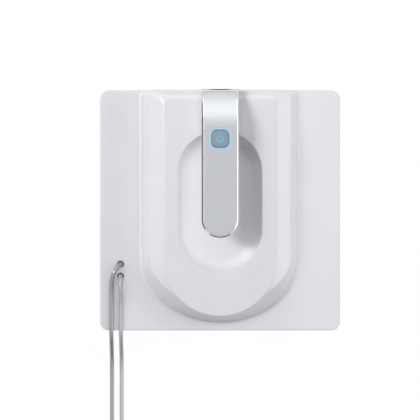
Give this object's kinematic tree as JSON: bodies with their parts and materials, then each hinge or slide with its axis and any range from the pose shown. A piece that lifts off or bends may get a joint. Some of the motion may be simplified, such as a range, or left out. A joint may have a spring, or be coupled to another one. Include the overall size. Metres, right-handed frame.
{
  "type": "window cleaning robot",
  "caption": "Square suction robot for window glass, with crawler belts, a fibre pad, a bridge handle over a hand recess, a lit power button, a power lead and a safety rope with a carabiner.",
  "frame": {"origin": "middle of the robot's own box at the glass plane, under the cleaning pad", "axes": "+Z away from the glass, +Y towards the handle's fixed end, +X to the right seen from above"},
  "size_m": [0.2925, 0.4472, 0.0763],
  "materials": {
    "housing_white": "smooth moulded plastic with a soft satin gloss",
    "chassis_white": "fine-grained moulded plastic",
    "handle_silver": "metallic silver paint on moulded plastic",
    "handle_plate": "satin anodised plate",
    "trim_chrome": "polished plated trim",
    "ring_light": "clear blue light guide",
    "button_face": "smooth grey-blue cap",
    "grille_grey": "moulded plastic",
    "pad_fibre": "short microfibre pile",
    "pad_frame": "moulded plastic with hook tape",
    "rubber_black": "moulded rubber",
    "black_plastic": "moulded plastic",
    "steel": "turned steel",
    "brass": "turned brass",
    "board_green": "solder-masked laminate",
    "cell_blue": "shrink sleeve",
    "lens_dark": "dark infrared window",
    "lead_silver": "silver-grey glossy cable jacket",
    "rope_silver": "silver-grey coated rope",
    "tie_black": "woven hook-and-loop strap",
    "carabiner_metal": "polished plated steel"
  },
  "bodies": {
    "robot": {"top_housing": "housing_white", "base_chassis": "chassis_white", "pad_frame": "pad_frame", "cleaning_pad": "pad_fibre", "handle_shell": "handle_silver", "handle_trim": "trim_chrome", "handle_plate": "handle_plate", "light_ring": "ring_light", "button_board": "board_green", "exhaust_grille": "grille_grey", "inlet_grille": "grille_grey", "fan_housing": "grille_grey", "fan_motor": "steel", "battery_tray": "black_plastic", "battery_cells": "cell_blue", "main_board": "board_green", "edge_sensors": "lens_dark", "screws": "steel", "lead_gland": "black_plastic", "rope_gland": "black_plastic", "lead_run": "lead_silver", "lead_coil": "lead_silver", "lead_tie": "tie_black", "power_plug": "black_plastic", "rope_run": "rope_silver", "rope_coil": "rope_silver", "rope_tie": "tie_black", "rope_ferrule": "carabiner_metal", "carabiner": "carabiner_metal", "gate_pin": "steel", "crawler_frame_right": "grille_grey", "axle_bushes_right": "brass", "crawler_belt_right": "rubber_black", "drive_motor_right": "steel", "crawler_frame_left": "grille_grey", "axle_bushes_left": "brass", "crawler_belt_left": "rubber_black", "drive_motor_left": "steel"},
    "power_button": {"power_button": "button_face"},
    "carabiner_gate": {"carabiner_gate": "carabiner_metal"},
    "fan": {"impeller": "black_plastic", "fan_shaft": "steel"},
    "drive_right": {"drive_wheel_right": "black_plastic", "drive_axle_right": "steel", "drive_gear_right": "steel"},
    "idler_right": {"idler_wheel_right": "black_plastic", "idler_axle_right": "steel"},
    "pinion_right": {"motor_pinion_right": "steel"},
    "drive_left": {"drive_wheel_left": "black_plastic", "drive_axle_left": "steel", "drive_gear_left": "steel"},
    "idler_left": {"idler_wheel_left": "black_plastic", "idler_axle_left": "steel"},
    "pinion_left": {"motor_pinion_left": "steel"}
  },
  "joints": [
    {"name": "power_button_press", "type": "slide", "parent": "robot", "child": "power_button", "axis": [0, 0, -1], "range_m": [0, 0.0008], "stiffness_N_per_m": 400, "springref_m": -0.0006},
    {"name": "carabiner_gate_open", "type": "hinge", "parent": "robot", "child": "carabiner_gate", "pos_m": [0.02916, -0.28464, 0.0024], "axis": [0, 0, -1], "range_deg": [0, 30], "stiffness_Nm_per_rad": 0.02, "springref_deg": -8.59},
    {"name": "fan_spin", "type": "hinge", "parent": "robot", "child": "fan", "pos_m": [0, 0.005, 0.016], "axis": [0, 0, 1], "continuous": true},
    {"name": "drive_spin_right", "type": "hinge", "parent": "robot", "child": "drive_right", "pos_m": [0.053, 0.057, 0.013], "axis": [1, 0, 0], "continuous": true},
    {"name": "idler_spin_right", "type": "hinge", "parent": "robot", "child": "idler_right", "pos_m": [0.053, -0.057, 0.013], "axis": [1, 0, 0], "continuous": true},
    {"name": "pinion_spin_right", "type": "hinge", "parent": "robot", "child": "pinion_right", "pos_m": [0.053, 0.06947, 0.0202], "axis": [1, 0, 0], "continuous": true},
    {"name": "drive_spin_left", "type": "hinge", "parent": "robot", "child": "drive_left", "pos_m": [-0.053, 0.057, 0.013], "axis": [1, 0, 0], "continuous": true},
    {"name": "idler_spin_left", "type": "hinge", "parent": "robot", "child": "idler_left", "pos_m": [-0.053, -0.057, 0.013], "axis": [1, 0, 0], "continuous": true},
    {"name": "pinion_spin_left", "type": "hinge", "parent": "robot", "child": "pinion_left", "pos_m": [-0.053, 0.06947, 0.0202], "axis": [1, 0, 0], "continuous": true}
  ],
  "couplings": [
    {"joint": "idler_spin_right", "follows": "drive_spin_right", "ratio": 1},
    {"joint": "pinion_spin_right", "follows": "drive_spin_right", "ratio": -2},
    {"joint": "idler_spin_left", "follows": "drive_spin_left", "ratio": 1},
    {"joint": "pinion_spin_left", "follows": "drive_spin_left", "ratio": -2}
  ]
}
